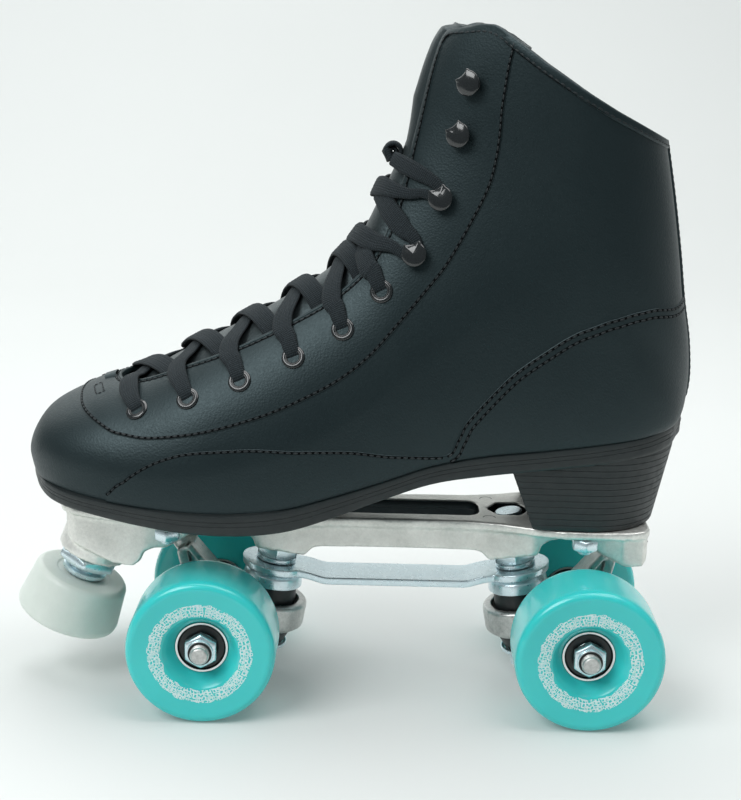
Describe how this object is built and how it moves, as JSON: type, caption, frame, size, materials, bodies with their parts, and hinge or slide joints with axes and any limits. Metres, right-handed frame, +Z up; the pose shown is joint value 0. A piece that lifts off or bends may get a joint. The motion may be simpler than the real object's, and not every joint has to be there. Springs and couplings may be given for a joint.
{
  "type": "quad roller skate",
  "caption": "Laced high-top leather boot with a stacked heel on a cast plate with sprung trucks, urethane wheels and a screw-in toe stop",
  "frame": {"origin": "centre of the object's box in plan, on the ground under the wheels", "axes": "+Z up, toe towards -X, the boot's outer side towards -Y"},
  "size_m": [0.2874, 0.116, 0.282],
  "materials": {
    "black_leather": "satin",
    "tongue_leather": "satin",
    "lining": "matte",
    "black_sole": "satin",
    "lace": "matte",
    "black_hardware": "gloss",
    "cast_aluminium": "cast",
    "zinc_plate": "bright zinc",
    "black_rubber": "matte",
    "teal_urethane": "gloss",
    "bearing_steel": "satin",
    "white_rubber": "satin"
  },
  "bodies": {
    "boot_and_plate": {"vamp": "black_leather", "quarter_left": "black_leather", "quarter_right": "black_leather", "backstay": "black_leather", "tongue": "tongue_leather", "insole": "lining", "outsole": "black_sole", "heel_block": "black_sole", "lace": "lace", "hooks_left": "black_hardware", "hooks_right": "black_hardware", "plate": "cast_aluminium", "jump_bar": "zinc_plate", "toe_stop_lock_nut": "zinc_plate", "mount_bolt_front_left": "zinc_plate", "mount_nut_front_left": "zinc_plate", "mount_bolt_front_right": "zinc_plate", "mount_nut_front_right": "zinc_plate", "mount_bolt_rear_left": "zinc_plate", "mount_nut_rear_left": "zinc_plate", "mount_bolt_rear_right": "zinc_plate", "mount_nut_rear_right": "zinc_plate", "kingpin_front": "zinc_plate", "kingpin_lock_nut_front": "zinc_plate", "upper_retainer_front": "zinc_plate", "upper_cushion_front": "black_rubber", "lower_cushion_front": "black_rubber", "lower_retainer_front": "zinc_plate", "pivot_cup_front": "black_rubber", "kingpin_rear": "zinc_plate", "kingpin_lock_nut_rear": "zinc_plate", "upper_retainer_rear": "zinc_plate", "upper_cushion_rear": "black_rubber", "lower_cushion_rear": "black_rubber", "lower_retainer_rear": "zinc_plate", "pivot_cup_rear": "black_rubber"},
    "truck_front": {"hanger_front": "cast_aluminium", "axle_front": "zinc_plate", "axle_nut_front_left": "zinc_plate", "axle_nut_front_right": "zinc_plate"},
    "truck_rear": {"hanger_rear": "cast_aluminium", "axle_rear": "zinc_plate", "axle_nut_rear_left": "zinc_plate", "axle_nut_rear_right": "zinc_plate"},
    "front_left_wheel": {"wheel_front_left": "teal_urethane", "outer_bearing_front_left": "bearing_steel", "inner_bearing_front_left": "bearing_steel"},
    "front_right_wheel": {"wheel_front_right": "teal_urethane", "outer_bearing_front_right": "bearing_steel", "inner_bearing_front_right": "bearing_steel"},
    "rear_left_wheel": {"wheel_rear_left": "teal_urethane", "outer_bearing_rear_left": "bearing_steel", "inner_bearing_rear_left": "bearing_steel"},
    "rear_right_wheel": {"wheel_rear_right": "teal_urethane", "outer_bearing_rear_right": "bearing_steel", "inner_bearing_rear_right": "bearing_steel"},
    "toe_stop": {"toe_stop_stem": "zinc_plate", "toe_stop_rubber": "white_rubber"}
  },
  "joints": [
    {"name": "truck_front_tilt", "type": "hinge", "parent": "boot_and_plate", "child": "truck_front", "pos_m": [-0.0775, 0, 0.0665], "axis": [-0.7517, 0, 0.6596], "range_deg": [-8, 8], "stiffness_Nm_per_rad": 45, "deforming": ["upper_cushion_front", "lower_cushion_front"]},
    {"name": "truck_rear_tilt", "type": "hinge", "parent": "boot_and_plate", "child": "truck_rear", "pos_m": [0.1215, 0, 0.0665], "axis": [0.7517, 0, 0.6596], "range_deg": [-8, 8], "stiffness_Nm_per_rad": 45, "deforming": ["upper_cushion_rear", "lower_cushion_rear"]},
    {"name": "wheel_front_left_spin", "type": "hinge", "parent": "truck_front", "child": "front_left_wheel", "pos_m": [-0.058, -0.0402, 0.03088], "axis": [0, 1, 0], "continuous": true},
    {"name": "wheel_front_right_spin", "type": "hinge", "parent": "truck_front", "child": "front_right_wheel", "pos_m": [-0.058, 0.0402, 0.03088], "axis": [0, 1, 0], "continuous": true},
    {"name": "wheel_rear_left_spin", "type": "hinge", "parent": "truck_rear", "child": "rear_left_wheel", "pos_m": [0.102, -0.0402, 0.03088], "axis": [0, 1, 0], "continuous": true},
    {"name": "wheel_rear_right_spin", "type": "hinge", "parent": "truck_rear", "child": "rear_right_wheel", "pos_m": [0.102, 0.0402, 0.03088], "axis": [0, 1, 0], "continuous": true},
    {"name": "toe_stop_height", "type": "slide", "parent": "boot_and_plate", "child": "toe_stop", "axis": [-0.3746, 0, -0.9272], "range_m": [-0.0015, 0.008]}
  ]
}
